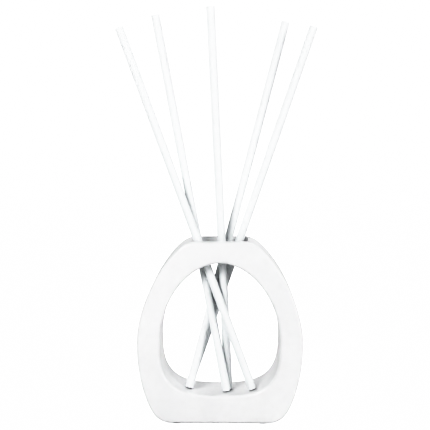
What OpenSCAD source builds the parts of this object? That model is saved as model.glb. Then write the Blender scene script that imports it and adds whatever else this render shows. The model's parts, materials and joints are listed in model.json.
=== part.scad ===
// Fragrance-stick holder: a ceramic ring with a slot in its top and five
// rolled-paper sticks that lean through the slot and stand on the window's
// floor. X runs across the window, -Y is the front, and Z = 0 is the table.

/* [Holder] */
// Width of the ring across its widest point
holder_w = 108; // [90:1:130]
// Height of the ring, without its feet
holder_h = 118.5; // [98.5:0.5:142.5]
// Depth of the ring from front to back
holder_d = 42; // [35:0.5:51]
// Height of the widest point above the ring's base
belly_h = 53.5; // [45:0.5:62]
// Width of the flat base, corner to corner
base_w = 79.5; // [66:0.5:85]
// Radius on the front and back rims
rim_r = 2.5; // [1:0.25:3]

/* [Window] */
// Width of the window across its widest point
window_w = 77.5; // [64.5:0.5:86]
// Thickness of the floor that the sticks stand on
floor_t = 18.5; // [15:0.5:22.5]
// Thickness of the bridge above the window
bridge_t = 14; // [11.5:0.5:17]

/* [Slot] */
// Width of the slot in the bridge
slot_w = 36; // [30:0.5:43.5]
// Depth of the slot from front to back
slot_d = 27; // [22.5:0.5:32.5]
// Wall left between each end of the slot and the corner of the flat top
slot_end_wall = 4; // [3:0.5:6]
// Radius of the slot's corners
slot_corner_r = 3.5; // [1:0.25:3.5]
// Chamfer round the slot's mouth
slot_chamfer = 0.8; // [0.4:0.1:1.2]

/* [Sticks] */
// Length of a stick
stick_l = 250; // [205:1:300]
// Diameter of a stick
stick_d = 5.5; // [4.5:0.1:6.6]
// Clearance between a stick and whatever it leans on
stick_gap = 0.5; // [0.4:0.05:0.6]
// Distance between the outermost feet on the window's floor
foot_spread = 42.5; // [35:0.5:46]

/* [Feet] */
// Diameter of a bumper foot
pad_d = 10; // [8:0.5:12]
// Thickness of a bumper foot
pad_t = 1.2; // [1:0.1:1.5]
// Distance between the left and right feet, centre to centre
pad_span_x = 56; // [46:1:60]
// Distance between the front and back feet, centre to centre
pad_span_y = 22; // [18:0.5:24]

/* [Hidden] */

// How square each half of an outline is: 2 is an ellipse, more is squarer
shoulder_power = 1.7;
hip_power = 2.2;
arch_power = 1.9;
bowl_power = 3.1;
// How sharply the shoulders turn into the flat top and the hips into the flat base
top_corner_power = 30;
base_corner_power = 18;
// Bulge of the corner formula past the flats, trimmed off to leave them flat
flat_trim = 0.6;
// Stations round the ring, and facets in each quarter of a rim's rounding
ring_steps = 144;
rim_steps = 3;
// Distance that a cutter runs past the faces it cuts
overrun = 1;

// The ring's base stands on the feet
base_z = pad_t;
top_z = base_z + holder_h;
belly_z = base_z + belly_h;
// Heights above and below the widest point at which each outline would close
plateau_w = slot_w + 2*slot_end_wall;
shoulder_rise = (holder_h - belly_h)/pow(1 - pow(plateau_w/holder_w, shoulder_power), 1/shoulder_power);
hip_drop = belly_h/pow(1 - pow(base_w/holder_w, hip_power), 1/hip_power);
arch_rise = holder_h - bridge_t - belly_h;
bowl_drop = belly_h - floor_t;

// Stick centres at the slot's mouth and at the floor, one row a stick from left tip to right tip:
// [foot x as a share of half the foot spread, foot lane, mouth x as a share of the slot's reach, mouth lane].
// A lane is one stick and its clearance deep, counted from the front of the slot.
STICKS = [[ 1.00, -0.22, -0.99, 0.00],
          [ 0.20,  0.12, -0.99, 1.01],
          [ 0.26,  1.30,  0.06, 0.64],
          [-0.95,  0.70,  0.38, 2.40],
          [-0.96,  2.65,  0.90, 2.65]];
stick_r = stick_d/2;
lane = stick_d + stick_gap;
front_lane_y = -slot_d/2 + stick_r + stick_gap;
slot_reach_x = slot_w/2 - stick_r - stick_gap;

// Polar radius of a squared ellipse whose upper and lower halves differ
function egg_r(a, half_w, rise, drop, up_power, low_power) =
    let (h = sin(a) >= 0 ? rise : drop, n = sin(a) >= 0 ? up_power : low_power)
    pow(pow(abs(cos(a))/half_w, n) + pow(abs(sin(a))/h, n), -1/n);

// Outer outline about the widest point, with its flat top and base
function outer_r(a) =
    let (r = egg_r(a, holder_w/2, shoulder_rise, hip_drop, shoulder_power, hip_power),
         cut = (sin(a) >= 0 ? holder_h - belly_h : belly_h) + flat_trim,
         n = sin(a) >= 0 ? top_corner_power : base_corner_power)
    pow(pow(r, -n) + pow(abs(sin(a))/cut, n), -1/n);
function outer_xz(a) =
    let (r = outer_r(a)) [r*cos(a), min(top_z, max(base_z, belly_z + r*sin(a)))];

// Window outline about the same point
function window_xz(a) =
    let (r = egg_r(a, window_w/2, arch_rise, bowl_drop, arch_power, bowl_power))
    [r*cos(a), belly_z + r*sin(a)];

// Height of the window's floor at a distance x from the middle, on the ring's own facets
floor_line = [for (i = [ring_steps/2:ring_steps]) window_xz(360*i/ring_steps)];
function floor_z(x) = lookup(x, floor_line);

// Outward normal of an outline, from its two neighbours at a small angle
function normal_of(before, after) = let (t = after - before) [t[1], -t[0]]/norm(t);
probe = 0.4;
function outer_normal(a) = normal_of(outer_xz(a - probe), outer_xz(a + probe));
function window_normal(a) = normal_of(window_xz(a - probe), window_xz(a + probe));

// One rounded section of the ring at the angle a: the outer skin from front to back, then the inner
function rim_offset(q) = let (t = 90*q/rim_steps) [rim_r*(1 - cos(t)), rim_r*(1 - sin(t))];
function section(a) =
    let (o = outer_xz(a), on = outer_normal(a), w = window_xz(a), wn = window_normal(a), half_d = holder_d/2)
    concat([for (q = [0:rim_steps]) let (c = rim_offset(q), p = o - on*c[1])
                [p[0], c[0] - half_d, p[1]]],
           [for (q = [rim_steps:-1:0]) let (c = rim_offset(q), p = o - on*c[1])
                [p[0], half_d - c[0], p[1]]],
           [for (q = [0:rim_steps]) let (c = rim_offset(q), p = w + wn*c[1])
                [p[0], half_d - c[0], p[1]]],
           [for (q = [rim_steps:-1:0]) let (c = rim_offset(q), p = w + wn*c[1])
                [p[0], c[0] - half_d, p[1]]]);

// A closed loop of equal sections joined into one ring
module swept_ring(sections) {
    n = len(sections);
    m = len(sections[0]);
    polyhedron(points = [for (s = sections) each s],
               faces = [for (i = [0:n - 1], j = [0:m - 1])
                           [i*m + j, i*m + (j + 1)%m, ((i + 1)%n)*m + (j + 1)%m, ((i + 1)%n)*m + j]],
               convexity = 6);
}

// A block with rounded upright corners, standing on z = 0
module rounded_block(w, d, r, h) {
    linear_extrude(h) {
        square([w, d - 2*r], center = true);
        square([w - 2*r, d], center = true);
        for (x = [-1, 1], y = [-1, 1])
            translate([x*(w/2 - r), y*(d/2 - r)]) circle(r, $fn = 32);
    }
}

// The slot runs from inside the window up through the bridge, and its mouth is chamfered
module slot_cutter() {
    translate([0, 0, belly_z])
        rounded_block(slot_w, slot_d, slot_corner_r, top_z - belly_z + overrun);
    hull() {
        translate([0, 0, top_z - slot_chamfer])
            rounded_block(slot_w, slot_d, slot_corner_r, overrun/100);
        translate([0, 0, top_z + overrun])
            rounded_block(slot_w + 2*(slot_chamfer + overrun), slot_d + 2*(slot_chamfer + overrun),
                          slot_corner_r + slot_chamfer + overrun, overrun/100);
    }
}

module holder() {
    color([0.94, 0.94, 0.95])
        difference() {
            swept_ring([for (i = [0:ring_steps - 1]) section(360*i/ring_steps)]);
            slot_cutter();
        }
}

// Lowest place for a stick's foot at x: the edge of its cut end, square to its lean, just clears the floor
function foot_z(x, lean) =
    let (along = lean/norm(lean), across = [along[2], 0, -along[0]]/norm([along[2], 0, -along[0]]),
         other = cross(along, across))
    max([for (t = [0:10:350]) let (edge = stick_r*(cos(t)*across + sin(t)*other))
             floor_z(x + edge[0]) - edge[2]]) + stick_gap/2;

// The two points that a stick's centre line passes through
function mouth_point(s) = [s[2]*slot_reach_x, front_lane_y + s[3]*lane, top_z];
function foot_point(s) =
    let (x = s[0]*foot_spread/2, y = front_lane_y + s[1]*lane)
    [x, y, foot_z(x, mouth_point(s) - [x, y, base_z + floor_t])];

module stick(index) {
    foot = foot_point(STICKS[index]);
    along = mouth_point(STICKS[index]) - foot;
    color([0.98, 0.98, 0.97])
        translate(foot)
            rotate([0, atan2(norm([along[0], along[1]]), along[2]), atan2(along[1], along[0])])
                cylinder(h = stick_l, d = stick_d, $fn = 48);
}

module stick_far_left() { stick(0); }
module stick_left() { stick(1); }
module stick_centre() { stick(2); }
module stick_right() { stick(3); }
module stick_far_right() { stick(4); }

// A round self-adhesive bumper with a chamfered lower edge
module pad(side_x, side_y) {
    chamfer = pad_t/3;
    color([0.86, 0.86, 0.85])
        translate([side_x*pad_span_x/2, side_y*pad_span_y/2, 0])
            rotate_extrude($fn = 48)
                polygon([[0, 0], [pad_d/2 - chamfer, 0], [pad_d/2, chamfer], [pad_d/2, pad_t], [0, pad_t]]);
}

module pad_front_left() { pad(-1, -1); }
module pad_front_right() { pad(1, -1); }
module pad_back_left() { pad(-1, 1); }
module pad_back_right() { pad(1, 1); }

holder();
stick_far_left();
stick_left();
stick_centre();
stick_right();
stick_far_right();
pad_front_left();
pad_front_right();
pad_back_left();
pad_back_right();
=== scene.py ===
"""Looks for the fragrance-stick holder: a glazed ceramic ring, rolled-paper sticks and soft bumper feet.

Lengths are in metres, in the CAD frame: X across the window, -Y the front, Z = 0 the table.
"""
import json
import math

import bmesh
import bpy
import numpy as np
from mathutils import Matrix, Vector, noise


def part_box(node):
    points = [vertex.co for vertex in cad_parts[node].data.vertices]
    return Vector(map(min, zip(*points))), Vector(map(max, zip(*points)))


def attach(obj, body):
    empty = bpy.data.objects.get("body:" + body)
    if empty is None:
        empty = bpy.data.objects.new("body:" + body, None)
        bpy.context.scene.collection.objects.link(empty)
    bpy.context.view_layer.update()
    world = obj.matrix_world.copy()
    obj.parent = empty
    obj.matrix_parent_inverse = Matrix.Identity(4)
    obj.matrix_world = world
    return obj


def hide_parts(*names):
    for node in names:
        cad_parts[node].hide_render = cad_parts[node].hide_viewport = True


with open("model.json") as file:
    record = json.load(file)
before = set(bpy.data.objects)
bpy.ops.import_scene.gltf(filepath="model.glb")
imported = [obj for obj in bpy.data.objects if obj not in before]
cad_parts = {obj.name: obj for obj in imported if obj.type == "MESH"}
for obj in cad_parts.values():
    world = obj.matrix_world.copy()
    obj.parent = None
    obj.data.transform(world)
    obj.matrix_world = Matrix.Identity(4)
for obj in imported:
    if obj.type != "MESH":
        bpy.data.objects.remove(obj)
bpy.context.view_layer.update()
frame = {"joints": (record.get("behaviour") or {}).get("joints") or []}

MM = 0.001

# ---------------------------------------------------------------- driving values
# The ring's width, depth and height come from its CAD box; its outline follows the same formula as the CAD
ring_low, ring_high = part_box("holder")
HALF_W, HALF_D = ring_high.x, ring_high.y
BASE_Z, TOP_Z = ring_low.z, ring_high.z
BELLY_Z = BASE_Z + 53.5*MM
BASE_HALF_W = 39.75*MM
RIM_R = 2.0*MM           # crisper than the CAD's rims, as the glaze breaks over them
WINDOW_HALF_W = 38.75*MM
FLOOR_T = 18.5*MM
BRIDGE_T = 14*MM
SLOT_HALF_W, SLOT_HALF_D = 18*MM, 13.5*MM
SLOT_CORNER_R = 3.5*MM
SLOT_END_WALL = 4*MM
FLAT_TRIM = 0.6*MM
SHOULDER_POWER, HIP_POWER = 1.7, 2.2
ARCH_POWER, BOWL_POWER = 1.9, 3.1
TOP_CORNER_POWER, BASE_CORNER_POWER = 30, 18

STICK_LENGTH = 250*MM
STICK_R = 2.75*MM

# Studio lamps: [name, degrees to the right of the front, degrees up, size in metres, watts]
LAMPS = [["key", -26, 31, 0.8, 15.2],
         ["fill", 57, 16, 0.7, 6.0],
         ["back_left", -150, 40, 0.7, 3.9],
         ["back_right", 150, 40, 0.7, 4.1]]
LAMP_DISTANCE = 1.9
LAMP_TARGET = Vector((0, 0, 0.08))
# Light of the studio's white walls, each brightest square on: [axis, side, strength]
WALLS = [["X", -1, 0.3], ["X", 1, 0.74], ["Y", -1, 0.21], ["Y", 1, 0.53]]
# Brightness of the backdrop and of the floor's glow, both only as the camera sees them
BACKDROP_GLOW = 1.05
FLOOR_GLOW = 0.9
FLOOR_HALF_W = 6.0
TONE_POWER = 2.6         # contrast of the picture: 1 is none
TONE_STEPS = 16

# The camera: its lens and sensor in millimetres, its place, and the degrees it looks down and to the left
CAMERA_LENS, CAMERA_SENSOR_W = 94.24, 36
CAMERA_PLACE = Vector((7*MM, -736.5*MM, 197.6*MM))
CAMERA_DOWN, CAMERA_LEFT = 4.83, 0.81
CAMERA_NEAR, CAMERA_FAR = 0.05, 50

WHITE = (1, 1, 1, 1)

STICKS = ["stick_far_left", "stick_left", "stick_centre", "stick_right", "stick_far_right"]
PADS = ["pad_front_left", "pad_front_right", "pad_back_left", "pad_back_right"]


# ---------------------------------------------------------------- small helpers
def mesh_object(name, verts, faces, smooth=True):
    mesh = bpy.data.meshes.new(name)
    mesh.from_pydata([tuple(v) for v in verts], [], [tuple(f) for f in faces])
    mesh.validate()
    work = bmesh.new()
    work.from_mesh(mesh)
    loose = [v for v in work.verts if not v.link_faces]
    bmesh.ops.delete(work, geom=loose, context="VERTS")
    bmesh.ops.recalc_face_normals(work, faces=work.faces)
    work.to_mesh(mesh)
    work.free()
    mesh.polygons.foreach_set("use_smooth", [smooth]*len(mesh.polygons))
    obj = bpy.data.objects.new(name, mesh)
    bpy.context.scene.collection.objects.link(obj)
    return obj


def give(obj, material):
    obj.data.materials.clear()
    obj.data.materials.append(material)


class Nodes:
    """The node tree of a material or a world, with a call to add each kind of node that is used often."""

    def __init__(self, owner, output_kind="ShaderNodeOutputMaterial"):
        self.owner = owner
        owner.use_nodes = True
        self.tree = owner.node_tree
        self.tree.nodes.clear()
        self.output = self.add(output_kind)

    def add(self, kind, settings=None, **inputs):
        """A new node. Each keyword is an input's name, with _ for a space, and its value or a socket."""
        node = self.tree.nodes.new(kind)
        for key, value in (settings or {}).items():
            setattr(node, key, value)
        for key, value in inputs.items():
            self.put(node.inputs[key.replace("_", " ")], value)
        return node

    def put(self, socket, value):
        if isinstance(value, bpy.types.NodeSocket):
            self.tree.links.new(value, socket)
        else:
            socket.default_value = value

    def noise(self, vector, scale, detail=2.0, roughness=0.5):
        return self.add("ShaderNodeTexNoise", Vector=vector, Scale=scale, Detail=detail,
                        Roughness=roughness).outputs["Fac"]

    def remap(self, value, low, high, from_low=0.0, from_high=1.0):
        """The value, stretched from its own range to the range low to high."""
        node = self.add("ShaderNodeMapRange", Value=value, From_Min=from_low, From_Max=from_high,
                        To_Min=low, To_Max=high)
        return node.outputs["Result"]

    def mix(self, factor, a, b):
        node = self.add("ShaderNodeMix", {"data_type": "RGBA"})
        self.put(node.inputs[0], factor)
        self.put(node.inputs[6], a)
        self.put(node.inputs[7], b)
        return node.outputs[2]

    def math(self, operation, a, b=0.0):
        node = self.add("ShaderNodeMath", {"operation": operation})
        self.put(node.inputs[0], a)
        self.put(node.inputs[1], b)
        return node.outputs[0]

    def bump(self, height, strength, distance):
        return self.add("ShaderNodeBump", Height=height, Strength=strength,
                        Distance=distance).outputs["Normal"]

    def seen_directly(self):
        return self.add("ShaderNodeLightPath").outputs["Is Camera Ray"]

    def finish(self, shader):
        self.put(self.output.inputs["Surface"], shader.outputs[0])
        return self.owner


# ---------------------------------------------------------------- the ring's outlines
NORMAL_PROBE = math.radians(0.4)
HALVINGS = 60


def closing_height(reach, half_w, cut_half_w, power):
    """Height at which a squared ellipse closes, if at the height `reach` it is cut_half_w wide each side."""
    return reach/(1 - (cut_half_w/half_w)**power)**(1/power)


SHOULDER_RISE = closing_height(TOP_Z - BELLY_Z, HALF_W, SLOT_HALF_W + SLOT_END_WALL, SHOULDER_POWER)
HIP_DROP = closing_height(BELLY_Z - BASE_Z, HALF_W, BASE_HALF_W, HIP_POWER)
ARCH_RISE = TOP_Z - BRIDGE_T - BELLY_Z
BOWL_DROP = BELLY_Z - BASE_Z - FLOOR_T


def egg_radius(angle, half_w, rise, drop, up_power, low_power):
    up = math.sin(angle) >= 0
    height, power = (rise, up_power) if up else (drop, low_power)
    return (abs(math.cos(angle)/half_w)**power + abs(math.sin(angle)/height)**power)**(-1/power)


def outer_point(angle):
    r = egg_radius(angle, HALF_W, SHOULDER_RISE, HIP_DROP, SHOULDER_POWER, HIP_POWER)
    up = math.sin(angle) >= 0
    cut = (TOP_Z - BELLY_Z if up else BELLY_Z - BASE_Z) + FLAT_TRIM
    power = TOP_CORNER_POWER if up else BASE_CORNER_POWER
    r = (r**-power + abs(math.sin(angle)/cut)**power)**(-1/power)
    return np.array([r*math.cos(angle), min(TOP_Z, max(BASE_Z, BELLY_Z + r*math.sin(angle)))])


def window_point(angle):
    r = egg_radius(angle, WINDOW_HALF_W, ARCH_RISE, BOWL_DROP, ARCH_POWER, BOWL_POWER)
    return np.array([r*math.cos(angle), BELLY_Z + r*math.sin(angle)])


def outline_normal(point, angle):
    along = point(angle + NORMAL_PROBE) - point(angle - NORMAL_PROBE)
    return np.array([along[1], -along[0]])/np.linalg.norm(along)


def angle_at(point, x):
    """The angle in the upper half at which an outline has the given x, by halving."""
    low, high = 0.0, math.pi
    for _ in range(HALVINGS):
        mid = (low + high)/2
        low, high = (mid, high) if point(mid)[0] > x else (low, mid)
    return (low + high)/2


# ---------------------------------------------------------------- the ring's mesh
TOP_STEPS = 40          # stations over the slot, evenly spaced in x
ROUND_STEPS = 320       # stations round the rest of the ring
RIM_STEPS = 8
FACE_STEPS = 8
PATCH_HALF_W = 20.6*MM  # half the width and depth of the patch that the slot is cut in
PATCH_HALF_D = 16*MM
PATCH_ROWS = 20
LIP_R = 1.0*MM          # rounding of the slot's edges, above and below
LIP_STEPS = 6
LIP_MARGIN_STEPS = 2
TUNNEL_STEPS = 8
MATCH_DIGITS = 7        # decimals of a metre to which two loops' places are compared
CAST_WAVE_DEPTH = 0.22*MM
CAST_WAVES_PER_M = 45.0


def station_angles(point):
    """Angles from the patch's right edge over the top to its left edge, then round the bottom."""
    right, left = angle_at(point, PATCH_HALF_W), angle_at(point, -PATCH_HALF_W)
    xs = np.linspace(PATCH_HALF_W, -PATCH_HALF_W, TOP_STEPS + 1)
    over_slot = [angle_at(point, x) for x in xs]
    round_rest = np.linspace(left, right + 2*math.pi, ROUND_STEPS + 1)[1:-1]
    return over_slot + list(round_rest)


def section_columns():
    """A skin's vertices from front to back, as (inset, y), and the index at which the slot's patch starts."""
    flat = HALF_D - RIM_R
    rim = [(RIM_R*(1 - math.sin(t)), RIM_R*(1 - math.cos(t)))
           for t in np.linspace(0, math.pi/2, RIM_STEPS + 1)]
    skin_ys = [-flat] + list(np.linspace(-PATCH_HALF_D, PATCH_HALF_D, PATCH_ROWS + 1)) + [flat]
    front = [(inset, -HALF_D + lift) for inset, lift in rim]
    back = [(inset, HALF_D - lift) for inset, lift in reversed(rim)]
    cross = front[:-1] + [(0.0, y) for y in skin_ys] + back[1:]
    return cross, len(front)


def ring_geometry():
    """Sections joined into a ring, with a patch left open above and below for the slot to join."""
    outer_angles, inner_angles = station_angles(outer_point), station_angles(window_point)
    cross, patch_start = section_columns()
    count = len(outer_angles)
    rows = []
    for a, b in zip(outer_angles, inner_angles):
        o, on = outer_point(a), outline_normal(outer_point, a)
        w, wn = window_point(b), outline_normal(window_point, b)
        outer = [(*(o - on*inset), y) for inset, y in cross]
        inner = [(*(w + wn*inset), y) for inset, y in reversed(cross)]
        shares = [k/FACE_STEPS for k in range(1, FACE_STEPS)]
        back_face = [tuple(np.array(outer[-1])*(1 - s) + np.array(inner[0])*s) for s in shares]
        front_face = [tuple(np.array(inner[-1])*(1 - s) + np.array(outer[0])*s) for s in shares]
        loop = outer + back_face + inner + front_face
        rows.append([(x, y, z) for x, z, y in loop])
    wide = len(rows[0])
    verts = [v for row in rows for v in row]

    def index(i, j):
        return (i % count)*wide + j % wide

    inner_start = len(cross) + FACE_STEPS - 1
    inner_first = inner_start + len(cross) - 1 - patch_start - PATCH_ROWS
    outer_cols = (patch_start, patch_start + PATCH_ROWS)
    inner_cols = (inner_first, inner_first + PATCH_ROWS)
    faces = []
    for i in range(count):
        for j in range(wide):
            in_patch = outer_cols[0] <= j < outer_cols[1] or inner_cols[0] <= j < inner_cols[1]
            if i < TOP_STEPS and in_patch:
                continue
            faces.append((index(i, j), index(i + 1, j), index(i + 1, j + 1), index(i, j + 1)))

    def patch_loop(cols):
        """Indices round a patch: along the front, the left end, the back and the right end."""
        a, b = cols
        loop = [index(i, a) for i in range(TOP_STEPS)]
        loop += [index(TOP_STEPS, j) for j in range(a, b)]
        loop += [index(i, b) for i in range(TOP_STEPS, 0, -1)]
        loop += [index(0, j) for j in range(b, a, -1)]
        return loop

    add_slot(verts, faces, patch_loop(outer_cols), patch_loop(inner_cols))
    return verts, faces


def slot_outline(x, y):
    """The slot's edge point and outward direction that face the point (x, y) on the patch's edge."""
    p = np.array([x*SLOT_HALF_W/PATCH_HALF_W, y*SLOT_HALF_D/PATCH_HALF_D])
    half = np.array([SLOT_HALF_W, SLOT_HALF_D])
    centre = np.sign(p)*(half - SLOT_CORNER_R)
    past = np.abs(p) - (half - SLOT_CORNER_R)
    if past[0] > 0 and past[1] > 0:
        out = (p - centre)/np.linalg.norm(p - centre)
        return centre + out*SLOT_CORNER_R, out
    axis = 0 if abs(p[0])/half[0] > abs(p[1])/half[1] else 1
    out = np.zeros(2)
    out[axis] = np.sign(p[axis])
    edge = p.copy()
    edge[axis] = np.sign(p[axis])*half[axis]
    return edge, out


def add_slot(verts, faces, top_loop, ceiling_loop):
    """Joins the two patches' edges through a slot whose lips are rounded."""
    count = len(top_loop)
    xs = [verts[k][0] for k in top_loop]
    ys = [verts[k][1] for k in top_loop]
    lips = [slot_outline(x, y) for x, y in zip(xs, ys)]

    def surface_z(point, x):
        return point(angle_at(point, x))[1]

    def match_key(x, y):
        return round(x, MATCH_DIGITS), round(y, MATCH_DIGITS)

    rings = [list(top_loop)]

    def ring_of(make):
        """Adds one vertex for each on the loop, at the place that make gives it."""
        start = len(verts)
        for k in range(count):
            verts.append(make(k))
        rings.append(list(range(start, start + count)))

    def on_skin(point, k, offset, drop):
        edge, out = lips[k]
        place = edge + out*offset
        return (place[0], place[1], surface_z(point, place[0]) + drop)

    def between(point, k, share):
        edge, out = lips[k]
        place = (edge + out*LIP_R)*share + np.array([xs[k], ys[k]])*(1 - share)
        return (place[0], place[1], surface_z(point, place[0]))

    def in_tunnel(k, share):
        x, y = lips[k][0]
        upper, lower = surface_z(outer_point, x) - LIP_R, surface_z(window_point, x) + LIP_R
        return (x, y, upper*(1 - share) + lower*share)

    turns = np.linspace(0, math.pi/2, LIP_STEPS + 1)
    for s in range(1, LIP_MARGIN_STEPS + 1):
        ring_of(lambda k: between(outer_point, k, s/(LIP_MARGIN_STEPS + 1)))
    for t in turns:
        ring_of(lambda k: on_skin(outer_point, k, LIP_R*(1 - math.sin(t)), -LIP_R*(1 - math.cos(t))))
    for s in range(1, TUNNEL_STEPS):
        ring_of(lambda k: in_tunnel(k, s/TUNNEL_STEPS))
    for t in reversed(turns):
        ring_of(lambda k: on_skin(window_point, k, LIP_R*(1 - math.sin(t)), LIP_R*(1 - math.cos(t))))
    for s in range(LIP_MARGIN_STEPS, 0, -1):
        ring_of(lambda k: between(window_point, k, s/(LIP_MARGIN_STEPS + 1)))
    # The ceiling's edge loop runs front to back the other way, so it is matched by place
    places = {match_key(*verts[k][:2]): k for k in ceiling_loop}
    rings.append([places[match_key(x, y)] for x, y in zip(xs, ys)])
    for a, b in zip(rings, rings[1:]):
        for k in range(count):
            n = (k + 1) % count
            faces.append((a[k], a[n], b[n], b[k]))


def settle_like_cast(obj):
    """Pulls the surface in by a fraction of a millimetre in slow waves, as a slip-cast wall dries."""
    vertices = obj.data.vertices
    normals = [v.normal.copy() for v in vertices]
    for v, n in zip(vertices, normals):
        wave = 0.5 + 0.5*noise.noise(v.co*CAST_WAVES_PER_M)
        v.co -= n*CAST_WAVE_DEPTH*wave


def build_ring():
    verts, faces = ring_geometry()
    ring = mesh_object("holder_ceramic", verts, faces)
    settle_like_cast(ring)
    return ring


# ---------------------------------------------------------------- sticks
STICK_SIDES = 48
STICK_RINGS = 50
END_ROUND = 0.25*MM
END_ROUND_STEPS = 4
END_RINGS = (0.25, 0.4, 0.55, 0.7, 0.82)    # rings across a cut end, as shares of the radius
# The fine hole down the middle of the roll, and how its mouth flares
CORE_R, CORE_DEPTH = 0.35*MM, 3*MM
CORE_MOUTH_W, CORE_MOUTH_DEPTH, CORE_MOUTH_DIP = 0.1*MM, 0.12*MM, 0.02*MM
# The paper's seam: where it is on the first stick and how much further round on each next, in radians
SEAM_ANGLE, SEAM_TURN = 2.1, 1.3
# The seam's crease: its depth, its half-width in radians, and the power by which it fades towards the core
CREASE_DEPTH, CREASE_HALF_W, CREASE_FADE = 0.06*MM, 0.09, 6
# Slow unevenness of the roll: depth, waves round it, waves along it in a metre, and shift from stick to stick
ROLL_DEPTH, ROLL_AROUND, ROLL_ALONG, ROLL_SHIFT = 0.025*MM, 1.5, 60, 7.3


def stick_axis(node):
    """A stick's foot and the direction of its centre line, from its CAD box and its joint."""
    low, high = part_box(node)
    joint = next(j for j in frame["joints"] if j["child"] == node)
    along = Vector(joint["axis"]).normalized()
    middle = (low + high)/2
    return middle - along*STICK_LENGTH/2, along


def stick_profile():
    """(radius, height) of each ring of a stick, from the bottom of one core hole to that of the other."""
    mouth = [(0.0, CORE_DEPTH), (CORE_R, CORE_DEPTH), (CORE_R, CORE_MOUTH_DEPTH),
             (CORE_R + CORE_MOUTH_W, CORE_MOUTH_DIP)]
    cut_end = [(STICK_R*s, 0.0) for s in END_RINGS]
    rounding = [(STICK_R - END_ROUND*(1 - math.sin(t)), END_ROUND*(1 - math.cos(t)))
                for t in np.linspace(0, math.pi/2, END_ROUND_STEPS + 1)]
    near = mouth + cut_end + rounding
    body = [(STICK_R, h) for h in np.linspace(END_ROUND, STICK_LENGTH - END_ROUND, STICK_RINGS)[1:-1]]
    far = [(r, STICK_LENGTH - h) for r, h in reversed(near)]
    return near + body + far


def stick_vertex(r, h, a, number):
    """A point on the roll, sunk a little at the seam and where the roll is uneven."""
    seam = SEAM_ANGLE + SEAM_TURN*number
    gap = (a - seam + math.pi) % (2*math.pi) - math.pi
    crease = CREASE_DEPTH*math.exp(-(gap/CREASE_HALF_W)**2)*(r/STICK_R)**CREASE_FADE
    wave = ROLL_DEPTH*noise.noise(Vector((math.cos(a)*ROLL_AROUND, math.sin(a)*ROLL_AROUND,
                                          h*ROLL_ALONG + number*ROLL_SHIFT)))
    q = r - crease - max(0.0, wave)*(r/STICK_R)
    return (q*math.cos(a), q*math.sin(a), h)


def build_stick(node, number):
    """A rod of tightly rolled paper: a seam down its length, and rolled ends with a fine core hole."""
    rings = stick_profile()
    turns = [2*math.pi*k/STICK_SIDES for k in range(STICK_SIDES)]
    verts = [(0, 0, rings[0][1])]
    verts += [stick_vertex(r, h, a, number) for r, h in rings[1:-1] for a in turns]
    verts.append((0, 0, rings[-1][1]))
    start = 1
    last = len(verts) - 1 - STICK_SIDES
    faces = [(0, start + (k + 1) % STICK_SIDES, start + k) for k in range(STICK_SIDES)]
    for a in range(start, last, STICK_SIDES):
        b = a + STICK_SIDES
        for k in range(STICK_SIDES):
            n = (k + 1) % STICK_SIDES
            faces.append((a + k, a + n, b + n, b + k))
    faces += [(last + k, last + (k + 1) % STICK_SIDES, len(verts) - 1) for k in range(STICK_SIDES)]
    foot, along = stick_axis(node)
    turn = Vector((0, 0, 1)).rotation_difference(along).to_matrix().to_4x4()
    obj = mesh_object(node + "_paper", verts, faces)
    # The paper's looks follow the stick's own length, wherever it leans
    local = obj.data.attributes.new("along_stick", "FLOAT_VECTOR", "POINT")
    local.data.foreach_set("vector", [c for v in obj.data.vertices for c in v.co])
    obj.data.transform(Matrix.Translation(foot) @ turn)
    return obj


# ---------------------------------------------------------------- bumper feet
PAD_SIDES = 40
PAD_ROUND_SHARE = 0.6       # radius of the rounding where a foot stands, as a share of its thickness
PAD_ROUND_STEPS = 6
PAD_BREAK = 0.1*MM          # bevel at the bonded face
PAD_FLAT_RINGS = (0, 0.5, 0.75)
MERGE_DISTANCE = 1e-6


def build_pad(node):
    """A round stick-on bumper: flat where it is bonded, softly rounded where it stands."""
    low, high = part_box(node)
    r, t = (high.x - low.x)/2, high.z - low.z
    round_r = t*PAD_ROUND_SHARE
    profile = [(r*s, 0.0) for s in PAD_FLAT_RINGS]
    profile += [(r - round_r*(1 - math.sin(a)), round_r*(1 - math.cos(a)))
                for a in np.linspace(0, math.pi/2, PAD_ROUND_STEPS + 1)]
    profile += [(r, t - PAD_BREAK), (r - PAD_BREAK, t), (0.0, t)]
    centre = Vector(((low.x + high.x)/2, (low.y + high.y)/2, low.z))
    verts, faces = [], []
    for radius, height in profile:
        for k in range(PAD_SIDES):
            a = 2*math.pi*k/PAD_SIDES
            verts.append(centre + Vector((radius*math.cos(a), radius*math.sin(a), height)))
    for ring in range(len(profile) - 1):
        for k in range(PAD_SIDES):
            n = (k + 1) % PAD_SIDES
            a, b = ring*PAD_SIDES, (ring + 1)*PAD_SIDES
            faces.append((a + k, a + n, b + n, b + k))
    obj = mesh_object(node + "_bumper", verts, faces)
    work = bmesh.new()
    work.from_mesh(obj.data)
    bmesh.ops.remove_doubles(work, verts=work.verts, dist=MERGE_DISTANCE)
    work.to_mesh(obj.data)
    work.free()
    return obj


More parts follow.
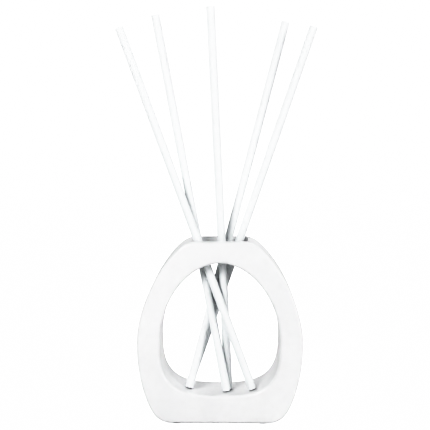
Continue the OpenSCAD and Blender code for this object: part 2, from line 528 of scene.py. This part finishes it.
# ---------------------------------------------------------------- materials
def ceramic_material():
    """Satin glaze: cloudy white with fine warm mottling, and a thin clear coat over it."""
    m = Nodes(bpy.data.materials.new("ceramic_satin_glaze"))
    cool, pale, warm = (0.80, 0.80, 0.805, 1), (0.86, 0.86, 0.862, 1), (0.79, 0.785, 0.78, 1)
    place = m.add("ShaderNodeTexCoord").outputs["Object"]
    cloud = m.noise(place, scale=38.0, detail=4.0, roughness=0.62)
    fine = m.noise(place, scale=260.0, detail=3.0, roughness=0.55)
    speck = m.noise(place, scale=900.0)
    tint = m.mix(m.remap(cloud, 0.0, 1.0, from_low=0.3, from_high=0.7), cool, pale)
    tint = m.mix(m.remap(fine, 0.0, 0.35, from_low=0.45, from_high=0.75), tint, warm)
    height = m.math("ADD", m.math("MULTIPLY", cloud, 0.7), m.math("MULTIPLY", fine, 0.25))
    height = m.math("ADD", height, m.math("MULTIPLY", speck, 0.06))
    return m.finish(m.add("ShaderNodeBsdfPrincipled", Base_Color=tint,
                          Roughness=m.remap(fine, 0.36, 0.5, from_low=0.3, from_high=0.7),
                          Normal=m.bump(height, strength=0.35, distance=0.4*MM),
                          Specular_IOR_Level=0.5, Coat_Weight=0.4, Coat_Roughness=0.2))


def paper_material():
    """Matt white paper, with fibre drawn out along the stick and faint creamy clouds."""
    m = Nodes(bpy.data.materials.new("rolled_paper"))
    grey, pale, cream = (0.85, 0.865, 0.87, 1), (0.89, 0.90, 0.905, 1), (0.85, 0.85, 0.84, 1)
    place = m.add("ShaderNodeAttribute", {"attribute_name": "along_stick"}).outputs["Vector"]
    stretched = m.add("ShaderNodeMapping", Vector=place, Scale=(1.0, 1.0, 0.12)).outputs["Vector"]
    fibre = m.noise(stretched, scale=2600.0, detail=4.0, roughness=0.6)
    cloud = m.noise(place, scale=120.0, detail=3.0)
    tint = m.mix(m.remap(fibre, 0.0, 1.0, from_low=0.35, from_high=0.7), grey, pale)
    tint = m.mix(m.remap(cloud, 0.0, 0.3, from_low=0.45, from_high=0.8), tint, cream)
    return m.finish(m.add("ShaderNodeBsdfPrincipled", Base_Color=tint,
                          Roughness=m.remap(fibre, 0.8, 0.92, from_low=0.3, from_high=0.7),
                          Normal=m.bump(fibre, strength=0.4, distance=0.08*MM),
                          Specular_IOR_Level=0.08))


def bumper_material():
    """Grained soft rubber, pale grey."""
    m = Nodes(bpy.data.materials.new("bumper_rubber"))
    place = m.add("ShaderNodeTexCoord").outputs["Object"]
    grain = m.noise(place, scale=1500.0)
    return m.finish(m.add("ShaderNodeBsdfPrincipled",
                          Base_Color=m.mix(grain, (0.62, 0.62, 0.60, 1), (0.70, 0.70, 0.68, 1)),
                          Roughness=m.remap(grain, 0.38, 0.52),
                          Normal=m.bump(grain, strength=0.2, distance=0.05*MM)))


def floor_material():
    """A white sweep, which glows only as the camera sees it, so that it runs into the backdrop."""
    m = Nodes(bpy.data.materials.new("white_sweep"))
    place = m.add("ShaderNodeTexCoord").outputs["Object"]
    tone = m.mix(m.noise(place, scale=3.0), (0.74, 0.74, 0.74, 1), (0.76, 0.76, 0.76, 1))
    surface = m.add("ShaderNodeBsdfDiffuse", Color=tone)
    glow = m.add("ShaderNodeEmission", Strength=m.math("MULTIPLY", m.seen_directly(), FLOOR_GLOW))
    both = m.add("ShaderNodeAddShader")
    m.put(both.inputs[0], surface.outputs[0])
    m.put(both.inputs[1], glow.outputs[0])
    return m.finish(both)


# ---------------------------------------------------------------- stage, light and camera
def build_stage():
    corners = [(x*FLOOR_HALF_W, y*FLOOR_HALF_W, 0) for x, y in ((-1, -1), (1, -1), (1, 1), (-1, 1))]
    floor = mesh_object("floor", corners, [(0, 1, 2, 3)], smooth=False)
    give(floor, floor_material())


def area_light(name, azimuth, elevation, size, power):
    """A round lamp that many degrees to the right of the front and that many up, facing the object."""
    turn, tilt = math.radians(azimuth), math.radians(elevation)
    away = Vector((math.cos(tilt)*math.sin(turn), -math.cos(tilt)*math.cos(turn), math.sin(tilt)))
    light = bpy.data.lights.new(name, "AREA")
    light.shape = "DISK"
    light.size = size
    light.energy = power
    obj = bpy.data.objects.new(name, light)
    obj.location = LAMP_TARGET + away*LAMP_DISTANCE
    obj.rotation_euler = (-away).to_track_quat("-Z", "Y").to_euler()
    bpy.context.scene.collection.objects.link(obj)


def build_world():
    """White where the camera sees it; as light, the white walls of a studio on all four sides."""
    w = Nodes(bpy.data.worlds.new("studio"), "ShaderNodeOutputWorld")
    direction = w.add("ShaderNodeTexCoord").outputs["Generated"]
    toward = w.add("ShaderNodeSeparateXYZ", Vector=direction).outputs
    strength = 0.0
    for axis, side, wall in WALLS:
        facing = w.math("MAXIMUM", w.math("MULTIPLY", toward[axis], side*wall), 0.0)
        strength = w.math("ADD", facing, strength)
    walls = w.add("ShaderNodeBackground", Color=WHITE, Strength=strength)
    backdrop = w.add("ShaderNodeBackground", Color=WHITE, Strength=BACKDROP_GLOW)
    mix = w.add("ShaderNodeMixShader")
    for socket, value in zip(mix.inputs, (w.seen_directly(), walls.outputs[0], backdrop.outputs[0])):
        w.put(socket, value)
    bpy.context.scene.world = w.finish(mix)


def set_tone():
    """A studio photograph's contrast: an S-shaped curve over the linear picture."""
    view = bpy.context.scene.view_settings
    view.view_transform = "Standard"
    view.use_curve_mapping = True
    curve = view.curve_mapping.curves[3]    # the one for all three colours together
    for step in range(1, TONE_STEPS):
        x = step/TONE_STEPS
        curve.points.new(x, x**TONE_POWER/(x**TONE_POWER + (1 - x)**TONE_POWER))
    view.curve_mapping.update()


def build_light():
    for lamp in LAMPS:
        area_light(*lamp)
    build_world()
    set_tone()


def build_camera():
    """The camera stands a little right of the ring's middle and above its top, and looks slightly down."""
    data = bpy.data.cameras.new("camera")
    data.sensor_width = CAMERA_SENSOR_W
    data.lens = CAMERA_LENS
    data.clip_start, data.clip_end = CAMERA_NEAR, CAMERA_FAR
    camera = bpy.data.objects.new("camera", data)
    camera.location = CAMERA_PLACE
    camera.rotation_euler = (math.radians(90 - CAMERA_DOWN), 0, math.radians(CAMERA_LEFT))
    bpy.context.scene.collection.objects.link(camera)
    bpy.context.scene.camera = camera


# ---------------------------------------------------------------- assembly
build_camera()
build_stage()
build_light()

ring = build_ring()
give(ring, ceramic_material())
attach(ring, "ring")
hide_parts("holder")

paper = paper_material()
for number, node in enumerate(STICKS):
    stick = build_stick(node, number)
    give(stick, paper)
    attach(stick, node)
    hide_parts(node)

bumper = bumper_material()
for node in PADS:
    pad = build_pad(node)
    give(pad, bumper)
    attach(pad, "ring")
    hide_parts(node)

bpy.context.view_layer.update()
